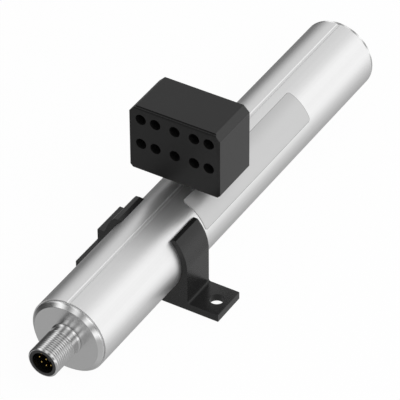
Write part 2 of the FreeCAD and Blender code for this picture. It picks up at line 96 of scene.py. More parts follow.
def softened(corners):
    """Turns (a, b, cut) corners into a closed outline whose cut corners are small curves."""
    points = [Vector((a, b)) for a, b, cut in corners]
    cuts = [cut for a, b, cut in corners]
    count = len(points)
    marks = [0.0]
    for index in range(count):
        marks.append(marks[-1] + (points[(index + 1) % count] - points[index]).length)

    def place(mark):
        mark = mark % marks[-1]
        index = max(number for number in range(count) if marks[number] <= mark)
        share = (mark - marks[index]) / (marks[index + 1] - marks[index])
        return points[index].lerp(points[(index + 1) % count], share)

    found = []
    for index in range(count):
        mark = marks[index]
        cut = cuts[index]
        if cut == 0:
            hidden = any(abs(mark - marks[other]) < cuts[other] for other in range(count))
            if not hidden:
                found.append((mark, points[index]))
            continue
        start = place(mark - cut)
        end = place(mark + cut)
        for step in range(CURVE_STEPS + 1):
            t = step / CURVE_STEPS
            point = start * (1 - t) ** 2 + points[index] * 2 * t * (1 - t) + end * t ** 2
            found.append((mark - cut + 2 * cut * t, point))
    found.sort(key=lambda entry: entry[0])
    return [point for mark, point in found]


# %% [markdown]
# ## Solids from outlines
# Turned pieces come from a lathe, so their outline is spun about a line. Moulded pieces are
# lofted: closed sections stand one behind the other and are joined. Either way the points form
# a grid, and one function lists the grid's faces. Doubled points are merged at the end.

# %% Spin and loft
SMOOTH_LIMIT = math.radians(35)
MERGE_DISTANCE = 0.5e-6


def new_object(name, data):
    """Puts a new object with its data into the scene."""
    made = bpy.data.objects.new(name, data)
    bpy.context.scene.collection.objects.link(made)
    return made


def new_piece(name, points, faces):
    """Makes a smooth-shaded object from points and faces, with sharp edges kept sharp."""
    mesh = bpy.data.meshes.new(name)
    mesh.from_pydata(points, [], faces)
    work = bmesh.new()
    work.from_mesh(mesh)
    bmesh.ops.remove_doubles(work, verts=work.verts, dist=MERGE_DISTANCE)
    loose = [edge for edge in work.edges if not edge.link_faces]
    bmesh.ops.delete(work, geom=loose, context="EDGES")
    bmesh.ops.recalc_face_normals(work, faces=work.faces)
    work.to_mesh(mesh)
    work.free()
    mesh.shade_smooth()
    mesh.set_sharp_from_angle(angle=SMOOTH_LIMIT)
    return new_object(name, mesh)


def even_turn(count):
    """Angles in degrees, evenly spaced round a full turn."""
    return [360 * step / count for step in range(count)]


def grid_faces(rows, columns, rows_closed=True, columns_closed=True):
    """The faces of a grid whose points are listed row by row. A closed side joins up again."""
    faces = []
    for row in range(rows if rows_closed else rows - 1):
        start = row * columns
        following = (row + 1) % rows * columns
        for column in range(columns if columns_closed else columns - 1):
            beside = (column + 1) % columns
            faces.append((start + column, start + beside, following + beside, following + column))
    return faces


def spun(name, outline, angles, centre=(0.0, 0.0), shape=None, closed=True):
    """Spins (x, radius) points in mm about a line along X. x counts from the front face.
    Angles count from the top towards the right as the plug is faced. shape changes a point.
    An open turn repeats its first angle at the end, so that a helix can move on by a pitch."""
    points = []
    for row in outline:
        for angle in angles:
            x, r = shape(*row, angle) if shape else row
            turn = math.radians(angle)
            y = centre[0] - r * math.sin(turn)
            z = centre[1] + r * math.cos(turn)
            points.append(placed(x, y, z))
    faces = grid_faces(len(outline), len(angles), columns_closed=closed)
    piece = new_piece(name, points, faces)
    shading = piece.modifiers.new("even_shading", "WEIGHTED_NORMAL")
    shading.keep_sharp = True
    return piece


def lofted(name, sections):
    """Joins closed sections of as many points each, with a flat end at the first and last."""
    count = len(sections[0])
    points = [point for section in sections for point in section]
    ends = [tuple(range(count)), tuple(range(len(points) - 1, len(points) - count - 1, -1))]
    return new_piece(name, points, ends + grid_faces(len(sections), count, rows_closed=False))


def extruded(name, outline, x_start, x_end):
    """Draws a closed (y, z) outline in mm out along X, between two x in mm from the front."""
    return lofted(name, [[placed(x, y, z) for y, z in outline] for x in (x_start, x_end)])


def on_circle(radius, angle):
    """The (y, z) place on a circle round the housing's line, angle in degrees from the top."""
    turn = math.radians(angle)
    return -radius * math.sin(turn), radius * math.cos(turn)


# %% [markdown]
# ## Cutting holes and rounding edges
# Drilled holes are cut with the boolean modifier, which is then made part of the mesh so that
# the cutter can go. The bevel modifier comes after it: it finds every edge that is sharper
# than a limit, the rims of the holes too, which would be slow to round by hand.

# %% Drill and round
HOLE_SIDES = 64
BEVEL_LIMIT = math.radians(28)
BEVEL_STEPS = 2


def settle(piece):
    """Makes a piece's modifiers part of its mesh."""
    graph = bpy.context.evaluated_depsgraph_get()
    mesh = bpy.data.meshes.new_from_object(piece.evaluated_get(graph))
    piece.modifiers.clear()
    piece.data = mesh


def drill(piece, cutters):
    """Cuts the cutters out of a piece and removes them."""
    for cutter in cutters:
        step = piece.modifiers.new("drill", "BOOLEAN")
        step.operation = "DIFFERENCE"
        step.solver = "EXACT"
        step.object = cutter
    settle(piece)
    for cutter in cutters:
        bpy.data.objects.remove(cutter)


def round_edges(piece, width):
    """Rounds all sharp edges of a piece by a width in mm."""
    piece.data.shade_smooth()
    bevel = piece.modifiers.new("rounded_edges", "BEVEL")
    bevel.width = width * MM
    bevel.segments = BEVEL_STEPS
    bevel.limit_method = "ANGLE"
    bevel.angle_limit = BEVEL_LIMIT
    shading = piece.modifiers.new("even_shading", "WEIGHTED_NORMAL")
    shading.keep_sharp = False
    settle(piece)


def upright_cutter(radius, x, y, z_low, z_high):
    """A round cutter that stands up, in mm."""
    turns = [math.radians(angle) for angle in even_turn(HOLE_SIDES)]
    circle = [(x + radius * math.cos(turn), y + radius * math.sin(turn)) for turn in turns]
    return lofted("cutter", [[placed(*point, z) for point in circle] for z in (z_low, z_high)])


# %% [markdown]
# ## Shader maths that reads like school maths
# Every finish below is a sum of a few noises and masks. Node links are hard to read, so a
# small class wraps a socket and lets Python's own signs add the Math nodes. Any other node
# comes from one method, which takes the node's type, its settings and its sockets.

# %% A wire and a node tree
FLAT_DETAIL = 1.0
SOFT_DETAIL = 2.0
FINE_DETAIL = 3.0


class Wire:
    """A node's output that can be used in sums."""

    def __init__(self, tree, socket):
        self.tree = tree
        self.socket = socket

    def maths(self, operation, first, second):
        return self.tree.add("ShaderNodeMath", {"operation": operation}, {0: first, 1: second})

    def __add__(self, other):
        return self.maths("ADD", self, other)

    __radd__ = __add__

    def __sub__(self, other):
        return self.maths("SUBTRACT", self, other)

    def __rsub__(self, other):
        return self.maths("SUBTRACT", other, self)

    def __mul__(self, other):
        return self.maths("MULTIPLY", self, other)

    __rmul__ = __mul__

    def __truediv__(self, other):
        return self.maths("DIVIDE", self, other)

    def output(self, name):
        """Another output of the same node."""
        return Wire(self.tree, self.socket.node.outputs[name])

    def ramp(self, start, end):
        """A smooth step from 0 at start to 1 at end."""
        settings = {"interpolation_type": "SMOOTHSTEP"}
        sockets = {"Value": self, "From Min": start, "From Max": end}
        return self.tree.add("ShaderNodeMapRange", settings, sockets)


class Tree:
    """A node tree that grows by one method."""

    def __init__(self, owner):
        owner.use_nodes = True
        self.nodes = owner.node_tree.nodes
        self.links = owner.node_tree.links
        self.nodes.clear()

    def add(self, kind, settings, sockets, output=0):
        """Adds a node, sets it up, fills or links its sockets and returns one output."""
        node = self.nodes.new(kind)
        for key, value in settings.items():
            if key == "stops":
                self.set_stops(node.color_ramp, value)
            else:
                setattr(node, key, value)
        for key, value in sockets.items():
            if isinstance(value, Wire):
                self.links.new(value.socket, node.inputs[key])
            else:
                node.inputs[key].default_value = value
        return Wire(self, node.outputs[output]) if node.outputs else None

    def set_stops(self, ramp, stops):
        """Gives a colour ramp its (place, grey) stops."""
        ramp.interpolation = "LINEAR"
        while len(ramp.elements) > 1:
            ramp.elements.remove(ramp.elements[-1])
        for index, (place, grey) in enumerate(stops):
            element = ramp.elements[0] if index == 0 else ramp.elements.new(place)
            element.position = place
            element.color = (grey, grey, grey, 1)

    def place(self):
        """The point on the surface, in the piece's own frame, in metres."""
        return self.add("ShaderNodeTexCoord", {}, {}, "Object")

    def scaled(self, vector, scale):
        """A vector with each part multiplied by its own scale."""
        return self.add("ShaderNodeVectorMath", {"operation": "MULTIPLY"}, {0: vector, 1: scale})

    def noise(self, vector, scale=1.0, detail=SOFT_DETAIL):
        """Soft random values from 0 to 1."""
        sockets = {"Vector": vector, "Scale": scale, "Detail": detail}
        return self.add("ShaderNodeTexNoise", {}, sockets)

    def blend(self, share, first, second):
        """A colour between two colours."""
        settings = {"data_type": "RGBA"}
        return self.add("ShaderNodeMix", settings, {0: share, 6: first, 7: second}, 2)

    def bump(self, height, distance):
        """A normal tilted by a height, with the distance in mm."""
        sockets = {"Height": height, "Distance": distance * MM, "Strength": 1.0}
        return self.add("ShaderNodeBump", {}, sockets, "Normal")

    def finish(self, sockets):
        """Ends a surface in the principled shader."""
        surface = self.add("ShaderNodeBsdfPrincipled", {}, sockets)
        self.add("ShaderNodeOutputMaterial", {}, {"Surface": surface})


def grey(value):
    """A grey colour."""
    return (value, value, value, 1)


finishes = {}


def finish(slot):
    """Starts the material for a slot and keeps it under the slot's name."""
    material = bpy.data.materials.new("finish_" + slot)
    finishes[slot] = material
    return Tree(material)


# %% [markdown]
# ## Satin aluminium
# The housing is an extruded tube, brushed lengthwise and anodised. A noise that is squeezed
# round the tube and drawn out along X gives fine streaks, which drive a little colour, gloss
# and bump. A second noise clouds the gloss softly.

# %% Housing finish
STREAK_SCALE = (14.0, 2400.0, 2400.0)
STREAK_DEPTH = 0.0022
CLOUD_SCALE = 45.0
SATIN_ROUGHNESS = 0.35


def make_satin_aluminium():
    tree = finish("satin_aluminium")
    place = tree.place()
    streaks = tree.noise(tree.scaled(place, STREAK_SCALE), detail=FINE_DETAIL)
    cloud = tree.noise(place, CLOUD_SCALE)
    tree.finish({
        "Base Color": tree.blend(streaks, grey(0.88), grey(0.94)),
        "Metallic": 1.0,
        "Roughness": SATIN_ROUGHNESS + 0.06 * streaks + 0.04 * cloud,
        "Normal": tree.bump(streaks, STREAK_DEPTH),
    })


make_satin_aluminium()

# %% [markdown]
# ## Turned aluminium
# The end caps come off a lathe: the flat face keeps rings too fine to count, and the rim is
# polished. The distance from the housing's line tells which is which, so one
# material serves the whole cap and the border between the two stays exactly on the edge.

# %% Cap finish
FACE_RADIUS = 13.05
POLISH_START = FACE_RADIUS - 0.04
POLISH_END = FACE_RADIUS + 0.08
RING_SCALE = 7000.0
RING_DEPTH = 0.0008
FACE_CLOUD_SCALE = 120.0
RIM_ROUGHNESS = 0.2


def distance_from_line(tree, place):
    """How far a point lies from the housing's line, in metres."""
    line = {0: place, 1: (0, 0, AXIS_HEIGHT)}
    across = tree.add("ShaderNodeVectorMath", {"operation": "SUBTRACT"}, line)
    flat = tree.scaled(across, (0, 1, 1))
    return tree.add("ShaderNodeVectorMath", {"operation": "LENGTH"}, {0: flat}, "Value")


def make_turned_aluminium():
    tree = finish("turned_aluminium")
    place = tree.place()
    distance = distance_from_line(tree, place)
    ring_sockets = {"W": distance, "Scale": RING_SCALE}
    rings = tree.add("ShaderNodeTexNoise", {"noise_dimensions": "1D"}, ring_sockets)
    cloud = tree.noise(place, FACE_CLOUD_SCALE)
    polish = distance.ramp(POLISH_START * MM, POLISH_END * MM)
    face = tree.blend(rings, grey(0.72), grey(0.78))
    tree.finish({
        "Base Color": tree.blend(polish, face, grey(0.9)),
        "Metallic": 1.0,
        "Roughness": RIM_ROUGHNESS + (1 - polish) * (0.05 * rings + 0.04 * cloud),
        "Normal": tree.bump(rings * (1 - polish), RING_DEPTH),
    })


make_turned_aluminium()

# %% [markdown]
# ## Nickel plate, gold, solder and steel
# Plated metal is smooth and bright with a faint unevenness left by the bath. One function
# serves them all, because only the colour, the gloss and the size of the grain differ.

# %% Plated and bare metals
METALS = [
    # slot, colour, roughness, grain scale, grain depth in mm
    ("nickel_plate", (0.8, 0.8, 0.8), 0.13, 900.0, 0.0005),
    ("gold_contact", (1.0, 0.7, 0.21), 0.15, 2500.0, 0.0005),
    ("solder_brass", (0.72, 0.6, 0.38), 0.35, 1500.0, 0.004),
    ("sensing_alloy", (0.7, 0.69, 0.67), 0.25, 4000.0, 0.001),
    ("can_aluminium", (0.8, 0.8, 0.81), 0.3, 1200.0, 0.002),
    ("copper_winding", (0.75, 0.36, 0.2), 0.3, 3000.0, 0.01),
    ("magnet_material", (0.32, 0.31, 0.3), 0.5, 1800.0, 0.01),
    ("pole_steel", (0.56, 0.56, 0.57), 0.32, 1500.0, 0.004),
]
METAL_DARKENING = 0.9


def make_metal(slot, colour, roughness, grain_scale, grain_depth):
    """A metal with a soft grain in its gloss and height."""
    tree = finish(slot)
    grain = tree.noise(tree.place(), grain_scale, FINE_DETAIL)
    darker = tuple(METAL_DARKENING * part for part in colour)
    tree.finish({
        "Base Color": tree.blend(grain, (*darker, 1), (*colour, 1)),
        "Metallic": 1.0,
        "Roughness": roughness * 0.8 + roughness * 0.4 * grain,
        "Normal": tree.bump(grain, grain_depth),
    })


for metal in METALS:
    make_metal(*metal)

# %% [markdown]
# ## Black moulded plastic
# The clamp, the magnet block and the plug's insert are black plastic. A mould leaves a fine
# satin grain: tiny bumps that spread the gloss, over a slow drift of shine where the plastic
# flowed. Two noises of different size give both, the colour moves only a little, and a thin
# coat keeps a sharper sheen over it. Boards, seals and sleeves follow the same recipe.

# %% Moulded plastics
SATIN_SHINE = 0.36
COAT_SHARE = 0.5
COAT_ROUGHNESS = 0.25
COAT_INDEX = 1.2
DRIFT_SCALE = 90.0
GRAIN_SCALE = 1900.0
GRAIN_DEPTH = 0.004
MOULDING_DARKENING = 0.8
MOULDINGS = [
    # slot, colour, roughness, and where they differ, grain scale and grain depth in mm
    ("black_clamp", (0.01, 0.01, 0.01), 0.25, GRAIN_SCALE, 0.0015),
    ("black_magnet_housing", (0.006, 0.006, 0.006), 0.4),
    # A lighter copy of the magnet block's black for its flanks and bevels: painted light.
    ("magnet_flank", (0.023, 0.023, 0.023), 0.4),
    # Near black for the walls of the magnet's screw holes: painted shade in the holes.
    ("bore_black", (0.001, 0.001, 0.001), 0.7),
    ("sled_plastic", (0.06, 0.06, 0.062), 0.5),
    ("chip_moulding", (0.02, 0.02, 0.022), 0.45),
    ("seal_rubber", (0.015, 0.015, 0.015), 0.7),
    ("circuit_laminate", (0.03, 0.16, 0.07), 0.35, 3500.0),
    ("ribbon_film", (0.42, 0.24, 0.06), 0.35, 1200.0),
    ("clear_sleeve", (0.75, 0.76, 0.74), 0.3),
    ("soft_silicone", (0.5, 0.5, 0.48), 0.6),
]


def make_moulding(slot, colour, roughness, scale=GRAIN_SCALE, depth=GRAIN_DEPTH):
    """A plastic with fine mould grain and a slow drift of gloss."""
    tree = finish(slot)
    place = tree.place()
    grain = tree.noise(place, scale)
    drift = tree.noise(place, DRIFT_SCALE)
    darker = tuple(MOULDING_DARKENING * part for part in colour)
    tree.finish({
        "Base Color": tree.blend(drift, (*darker, 1), (*colour, 1)),
        "Roughness": roughness - 0.04 + 0.08 * drift + 0.04 * grain,
        "Specular IOR Level": SATIN_SHINE,
        "Coat Weight": COAT_SHARE,
        "Coat Roughness": COAT_ROUGHNESS,
        "Coat IOR": COAT_INDEX,
        "Normal": tree.bump(grain, depth),
    })


for moulding in MOULDINGS:
    make_moulding(*moulding)

# %% [markdown]
# ## The plug's insert
# The insert's front ring is dark grey, while the cup behind it looks quite black, because
# little light gets in. That shade is painted: the distance from the line darkens the cup's
# colour to near black, and the painted shade's edge lies just inside the ring.

# %% Insert finish
CAVITY_RADIUS = 4.17
RING_START = CAVITY_RADIUS - 0.02
RING_END = CAVITY_RADIUS + 0.12
INSERT_GRAIN_SCALE = 2600.0
INSERT_GRAIN_DEPTH = 0.003
INSERT_ROUGHNESS = 0.3


def make_black_insert():
    tree = finish("black_insert")
    place = tree.place()
    grain = tree.noise(place, INSERT_GRAIN_SCALE)
    # Inside the ring the cup is painted near black, as painted shade.
    ring = distance_from_line(tree, place).ramp(RING_START * MM, RING_END * MM)
    tree.finish({
        "Base Color": tree.blend(ring, grey(0.003), grey(0.02)),
        "Roughness": INSERT_ROUGHNESS + 0.08 * grain,
        "Normal": tree.bump(grain, INSERT_GRAIN_DEPTH),
    })


make_black_insert()

# %% [markdown]
# ## The nameplate film
# The nameplate is a thin silvery film stuck to the housing. It is duller than the bare metal:
# partly paint, partly metal flake. A very fine noise stands for the flakes. The film's cut
# edge and the narrow border beside it get a second, darker grey: painted shade along the edge.

# %% Film finish
FLAKE_SCALE = 5200.0
FLAKE_DEPTH = 0.0012
FLAKE_CONTRAST = 0.04
FILM_DRIFT_SCALE = 60.0
FILM_ROUGHNESS = 0.36


def make_label_film(slot, tone, metal_share):
    """A film of a grey tone, partly paint and partly metal."""
    tree = finish(slot)
    place = tree.place()
    flakes = tree.noise(place, FLAKE_SCALE, FLAT_DETAIL)
    drift = tree.noise(place, FILM_DRIFT_SCALE)
    dark = grey(tone * (1 - FLAKE_CONTRAST))
    bright = grey(tone * (1 + FLAKE_CONTRAST))
    tree.finish({
        "Base Color": tree.blend(flakes, dark, bright),
        "Metallic": metal_share,
        "Roughness": FILM_ROUGHNESS + 0.06 * drift + 0.04 * flakes,
        "Normal": tree.bump(flakes, FLAKE_DEPTH),
    })


make_label_film("label_film", tone=0.59, metal_share=0.6)
# The cut edge and border: a darker grey film, painted shade along the film's edge.
make_label_film("label_edge_painted_shade", tone=0.3, metal_share=0.3)
print("finishes", len(finishes))

# %% [markdown]
# ## Dress a piece
# A dressed piece takes the place of one node of the construction model, moves with that
# node's body and names the slot of its finish. One function does all of it, so that no piece
# is forgotten. Another gives some faces of a dressed piece a further finish.

# %% Dress and mount


def dress(piece, node, body, slot):
    """Gives a piece its finish and its body, and hides the node that it stands for."""
    piece.data.materials.clear()
    piece.data.materials.append(finishes[slot])
    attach(piece, body)
    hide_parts(node)
    print(piece.name, "faces", len(piece.data.polygons))


def repaint(piece, slot, chosen):
    """Gives the chosen faces of a dressed piece a further finish."""
    materials = piece.data.materials
    materials.append(finishes[slot])
    for face in piece.data.polygons:
        if chosen(face):
            face.material_index = len(materials) - 1


# %% [markdown]
# ## The housing tube
# The tube has a shallow mark line along its top. Its section is a circle with a small flat
# groove, so the outer radius is a function of the angle. Spinning an outline with it gives the
# tube, its bore and the groove at once, with closely spaced angles near the groove.

# %% Housing tube
TUBE_WALL = 2.0
RIM_LENGTH = 1.6
LIP_LENGTH = 0.45
SEAM_LENGTH = 0.4
GROOVE_EDGES = (-0.46, -0.12, 0.68, 1.15)
GROOVE_DEPTH = 0.27
GROOVE_FIRST_ANGLE = -2.6
GROOVE_LAST_ANGLE = 5.4
GROOVE_STEPS = 50
PLAIN_STEPS = 150
tube_radius_mm = TUBE_RADIUS / MM
tube_start = RIM_LENGTH + SEAM_LENGTH
tube_end = HOUSING_LENGTH - LIP_LENGTH - SEAM_LENGTH


def smooth_step(value):
    """0 below 0, 1 above 1 and an even curve between."""
    value = min(max(value, 0.0), 1.0)
    return value * value * (3 - 2 * value)


def groove_shape(x, radius, angle):
    """A point of the housing with the mark line cut in."""
    offset = radius * math.radians((angle + 180) % 360 - 180)
    left_top, left_floor, right_floor, right_top = GROOVE_EDGES
    left_share = (offset - left_top) / (left_floor - left_top)
    right_share = (right_top - offset) / (right_top - right_floor)
    share = min(max(min(left_share, right_share), 0.0), 1.0)
    outside = radius > tube_radius_mm - TUBE_WALL / 2
    return x, radius - GROOVE_DEPTH * share if outside else radius


def uneven_turn(first, last, fine_count, wide_count):
    """A full turn of angles, close together from first to last and wider elsewhere."""
    fine = [first + (last - first) * step / fine_count for step in range(fine_count)]
    rest = 360 - (last - first)
    return fine + [last + rest * step / wide_count for step in range(wide_count)]


def make_housing_tube():
    bore = tube_radius_mm - TUBE_WALL
    outline = softened([
        (tube_start, bore, 0.1),
        (tube_start, tube_radius_mm, 0.1),
        (tube_end, tube_radius_mm, 0.1),
        (tube_end, bore, 0.1),
    ])
    angles = uneven_turn(GROOVE_FIRST_ANGLE, GROOVE_LAST_ANGLE, GROOVE_STEPS, PLAIN_STEPS)
    return spun("housing_tube", outline, angles, shape=groove_shape)


dress(make_housing_tube(), "profile_tube", "sensor", "satin_aluminium")

# %% [markdown]
# ## The end caps
# Each cap is one turned cup with a rim, a narrow seam and a spigot inside the tube. The front
# rim is a polished cone with a slightly flatter shoulder behind it, which ends below the
# tube's surface and so draws the dark line round the rim. The rear cap is turned end for end.
# It has only a thin lip, chamfered towards the tube, and no hole for the plug.

# %% End caps
CAP_SIDES = 180
CONE_LENGTH = 1.22
RIM_DROP = 0.45
LIP_CHAMFER = 0.42
SEAM_DEPTH = 0.8
CAP_FIT = 0.05
CAP_WEB = 5.0
CUP_WALL = 2.25
FRONT_DEPTH = 13.0
REAR_DEPTH = 12.0
PLUG_RADIUS = 6.0
PLUG_FIT = 0.03
SEAL_GROOVE_DEPTH = 1.35
SEAL_GROOVE_HALF = 0.9
SEAL_FROM_END = 3.0
HOLE_CUT = 0.12
SEAM_CUT = 0.04
SEAL_CUT = 0.05


def cap_outline(rim, depth, hole_radius):
    """The cap's corners from its flat face at x = 0 over the rim to the cup and the web."""
    rim_end = rim[-1][0]
    seam_end = rim_end + SEAM_LENGTH
    seam_radius = tube_radius_mm - SEAM_DEPTH
    spigot = tube_radius_mm - TUBE_WALL - CAP_FIT
    cup = spigot - CUP_WALL
    end = seam_end + depth
    seal_start = end - SEAL_FROM_END - SEAL_GROOVE_HALF
    seal_end = end - SEAL_FROM_END + SEAL_GROOVE_HALF
    seal_floor = spigot - SEAL_GROOVE_DEPTH
    hole_cut = HOLE_CUT if hole_radius else 0
    return [(0, hole_radius, hole_cut)] + rim + [
        (rim_end, seam_radius, SEAM_CUT),
        (seam_end, seam_radius, SEAM_CUT),
        (seam_end, spigot, SEAM_CUT),
        (seal_start, spigot, SEAL_CUT),
        (seal_start, seal_floor, SEAL_CUT),
        (seal_end, seal_floor, SEAL_CUT),
        (seal_end, spigot, SEAL_CUT),
        (end, spigot, 0.3),
        (end, cup, 0.2),
        (CAP_WEB, cup, 0.3),
        (CAP_WEB, hole_radius, hole_cut),
    ]


def make_front_cap():
    rim = [
        (0, FACE_RADIUS, 0.1),
        (CONE_LENGTH, FACE_RADIUS + CONE_LENGTH, 0.12),
        (RIM_LENGTH, tube_radius_mm - RIM_DROP, 0.08),
    ]
    outline = softened(cap_outline(rim, FRONT_DEPTH, PLUG_RADIUS + PLUG_FIT))
    return spun("front_cap", outline, even_turn(CAP_SIDES))


def make_end_cap():
    rim = [
        (0, tube_radius_mm, 0.01),
        (LIP_LENGTH - LIP_CHAMFER, tube_radius_mm, 0.02),
        (LIP_LENGTH, tube_radius_mm - LIP_CHAMFER, 0.02),
    ]
    corners = softened(cap_outline(rim, REAR_DEPTH, 0))
    outline = [(HOUSING_LENGTH - x, radius) for x, radius in corners]
    return spun("end_cap", outline, even_turn(CAP_SIDES))


dress(make_front_cap(), "connector_cap", "sensor", "turned_aluminium")
dress(make_end_cap(), "rear_cap", "sensor", "turned_aluminium")

# %% [markdown]
# ## The plug's threaded shell
# The shell is turned brass with a bright plate. Behind the screw thread it has a plain neck,
# and then a flare that stands off the cap by a narrow gap. A thread is a helix: at each angle
# the groove sits a little further along. So each point of the thread's profile moves on by
# one pitch in a full turn, which makes a true thread where a stack of rings would not.

# %% Plug shell
PLUG_LENGTH = 14.8
SHELL_WALL = 0.65
MOUTH_CHAMFER = 0.45
NECK_RADIUS = 5.75
NECK_START = -3.4
FLARE_LENGTH = 0.8
FLARE_RADIUS = 6.2
FLARE_RIM = 0.35
FLARE_GAP = 0.12
SPIGOT_END = 7.6
THREAD_PITCH = 1.0
THREAD_DEPTH = 0.54
THREAD_CREST = 0.12
THREAD_ROOT = 0.06
THREAD_RUNOUT = 0.5 * THREAD_PITCH
THREAD_START = MOUTH_CHAMFER - PLUG_LENGTH
THREAD_END = NECK_START - PLUG_RADIUS + NECK_RADIUS
SHELL_SIDES = 120


def thread_rows():
    """The corners of the thread's profile, one pitch more than its length needs."""
    flank = (1 - THREAD_CREST - THREAD_ROOT) / 2
    corners = [(0, 0), (THREAD_CREST, 0), (THREAD_CREST + flank, 1), (1 - flank, 1)]
    turns = math.ceil((THREAD_END - THREAD_START) / THREAD_PITCH) + 1
    rows = []
    for turn in range(-1, turns):
        for share, valley in corners:
            rows.append((THREAD_START + (turn + share) * THREAD_PITCH, PLUG_RADIUS, valley))
    return rows


def thread_shape(x, radius, valley, angle):
    """A point of the shell. On the thread it moves on by a pitch in each turn."""
    if valley is None:
        return x, radius
    x = min(max(x + THREAD_PITCH * angle / 360, THREAD_START), THREAD_END)
    fade = min(x - THREAD_START, THREAD_END - x) / THREAD_RUNOUT
    return x, radius - THREAD_DEPTH * valley * smooth_step(fade)


def make_plug_shell():
    bore = PLUG_RADIUS - SHELL_WALL
    plain = softened([
        (-PLUG_LENGTH, bore, 0.06),
        (-PLUG_LENGTH, PLUG_RADIUS - MOUTH_CHAMFER, 0.05),
        (THREAD_START, PLUG_RADIUS, 0),
        (NECK_START, NECK_RADIUS, 0.1),
        (-FLARE_LENGTH, NECK_RADIUS, 0.15),
        (-FLARE_RIM, FLARE_RADIUS, 0.12),
        (-FLARE_GAP, FLARE_RADIUS, 0.02),
        (-FLARE_GAP, PLUG_RADIUS, 0),
        (0, PLUG_RADIUS, 0),
        (SPIGOT_END, PLUG_RADIUS, 0.1),
        (SPIGOT_END, bore, 0.06),
    ])
    mouth = plain.index(Vector((THREAD_START, PLUG_RADIUS)))
    rows = [(point.x, point.y, None) for point in plain]
    outline = rows[:mouth] + thread_rows() + rows[mouth + 1:]
    angles = [360 * step / SHELL_SIDES for step in range(SHELL_SIDES + 1)]
    return spun("plug_shell", outline, angles, shape=thread_shape, closed=False)


dress(make_plug_shell(), "connector_shell", "sensor", "nickel_plate")

# %% [markdown]
# ## The insert and its contacts
# The insert is a moulded cup with a key that stops the cable's socket going in turned the
# wrong way. The key is flat on top, so near its angle the cup's radius follows a straight
# line. The contacts are thin gold pins, seven on a ring and one in the middle, made by one
# loop over the nodes that they stand for, with round noses that reach a little further out.

# %% Insert and contacts
INSERT_RADIUS = 5.32
INSERT_FLANGE_END = 9.0
CAVITY_DEPTH = 8.2
CAVITY_LIP = 0.06
KEY_ANGLE = 45.0
KEY_HEIGHT = 0.65
KEY_HALF_WIDTH = 0.75
KEY_BLEND = 1.6
KEY_TOLERANCE = 0.01
KEY_FINE_SPAN = 16.0
KEY_STEPS = 64
INSERT_STEPS = 110
CONTACT_COUNT = 8
CONTACT_SIDES = 28
NOSE_STEPS = 6
NOSE_AHEAD = 0.32
TAIL_CHAMFER = 0.1


def key_shape(x, radius, angle):
    """A point of the cup with the flat-topped key standing in."""
    if abs(radius - CAVITY_RADIUS) > KEY_TOLERANCE:
        return x, radius
    top = CAVITY_RADIUS - KEY_HEIGHT
    turn = math.radians(angle - KEY_ANGLE)
    half_width = math.degrees(math.asin(KEY_HALF_WIDTH / top))
    share = smooth_step((half_width + KEY_BLEND / 2 - abs(angle - KEY_ANGLE)) / KEY_BLEND)
    flat = top / math.cos(turn) if share else radius
    return x, radius + (flat - radius) * share


def make_plug_insert():
    floor = CAVITY_DEPTH - PLUG_LENGTH
    outline = softened([
        (floor, 0, 0),
        (floor, CAVITY_RADIUS, 0),
        (-PLUG_LENGTH, CAVITY_RADIUS, 0),
        (-PLUG_LENGTH, CAVITY_RADIUS + CAVITY_LIP, 0),
        (-PLUG_LENGTH, INSERT_RADIUS, 0.06),
        (SPIGOT_END, INSERT_RADIUS, 0),
        (SPIGOT_END, PLUG_RADIUS, 0.1),
        (INSERT_FLANGE_END, PLUG_RADIUS, 0.1),
        (INSERT_FLANGE_END, 0, 0),
    ])
    start = KEY_ANGLE - KEY_FINE_SPAN
    angles = uneven_turn(start, KEY_ANGLE + KEY_FINE_SPAN, KEY_STEPS, INSERT_STEPS)
    return spun("plug_insert", outline, angles, shape=key_shape)


def make_contact(number):
    """One contact, in the place of its node."""
    low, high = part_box(f"contact_pin_{number}")
    radius = (high.y - low.y) / 2 / MM
    tip = from_front(low.x) - NOSE_AHEAD
    tail = from_front(high.x)
    centre = ((low.y + high.y) / 2 / MM, above_line((low.z + high.z) / 2))
    outline = []
    for step in range(NOSE_STEPS + 1):
        swing = math.radians(90 * step / NOSE_STEPS)
        outline.append((tip + radius * (1 - math.cos(swing)), radius * math.sin(swing)))
    outline += [(tail - TAIL_CHAMFER, radius), (tail, radius - TAIL_CHAMFER), (tail, 0)]
    return spun(f"plug_contact_{number}", outline, even_turn(CONTACT_SIDES), centre)


dress(make_plug_insert(), "contact_carrier", "sensor", "black_insert")
for contact_number in range(1, CONTACT_COUNT + 1):
    contact_node = f"contact_pin_{contact_number}"
    dress(make_contact(contact_number), contact_node, "sensor", "gold_contact")

# %% [markdown]
# ## The nameplate film
# The film is a rectangle with round corners, wrapped round the housing's shoulder. It is a
# grid of rows, each bent to its angle and drawn in at the corners. The step down to the
# housing is the cut edge, the narrow strip beside it the border, and the rest is the face.

# %% Nameplate film
FILM_START = 70.3
FILM_LENGTH = 75.7
FILM_THICKNESS = 0.12
FILM_FIRST_ANGLE = 18.0
FILM_LAST_ANGLE = 72.0
FILM_CORNER = 1.3
FILM_EDGE = 0.03
FILM_BORDER = 0.22
BORDER_ROWS = 3
BORDER_COLUMNS = 2
FILM_ROWS = 60
CORNER_ROWS = 8


def film_rows():
    """The film's rows as lengths round the housing, close together at the corners."""
    width = math.radians(FILM_LAST_ANGLE - FILM_FIRST_ANGLE) * tube_radius_mm
    turns = [math.radians(90 * step / CORNER_ROWS) for step in range(CORNER_ROWS)]
    corner = [FILM_CORNER * (1 - math.cos(turn)) for turn in turns]
    middle = width - 2 * FILM_CORNER
    straight = [FILM_CORNER + middle * step / FILM_ROWS for step in range(FILM_ROWS + 1)]
    return corner + straight + [width - value for value in reversed(corner)]


def film_inset(along, width):
    """How far the film's ends are drawn in at a row, by its round corners."""
    from_edge = min(along, width - along)
    if from_edge >= FILM_CORNER:
        return 0.0
    return FILM_CORNER - math.sqrt(FILM_CORNER ** 2 - (FILM_CORNER - from_edge) ** 2)


